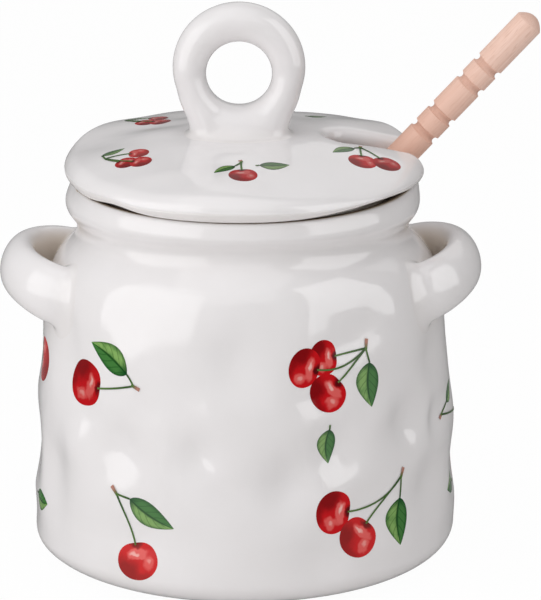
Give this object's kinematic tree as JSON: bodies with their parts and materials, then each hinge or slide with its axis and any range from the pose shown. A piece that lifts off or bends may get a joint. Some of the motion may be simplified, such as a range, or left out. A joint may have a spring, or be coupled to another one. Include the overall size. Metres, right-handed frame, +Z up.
{
  "type": "honey jar",
  "caption": "Round ceramic honey jar with a dented wall, ear handles, a domed lid with a ring knob and an edge notch, and a wooden dipper leaning out of the notch.",
  "frame": {"origin": "middle of the jar on the plane it stands on", "axes": "+Z up, +X towards the side that the dipper leans out of, -Y the front"},
  "size_m": [0.1565, 0.1234, 0.1649],
  "materials": {
    "glaze": "glossy warm white glaze with a cherry print",
    "lid_glaze": "glossy warm white glaze with a cherry print",
    "beech": "fine sanded, bare turned wood"
  },
  "bodies": {
    "jar": {"jar_body": "glaze", "left_handle": "glaze", "right_handle": "glaze"},
    "lid": {"lid": "lid_glaze", "lid_knob": "lid_glaze"},
    "dipper": {"dipper_stick": "beech", "dipper_head": "beech"}
  },
  "joints": [
    {"name": "lid_lift", "type": "slide", "parent": "jar", "child": "lid", "axis": [0, 0, 1], "range_m": [0, 0.08]},
    {"name": "dipper_draw", "type": "slide", "parent": "jar", "child": "dipper", "axis": [0.6794, 0, 0.7338], "range_m": [0, 0.08]}
  ]
}
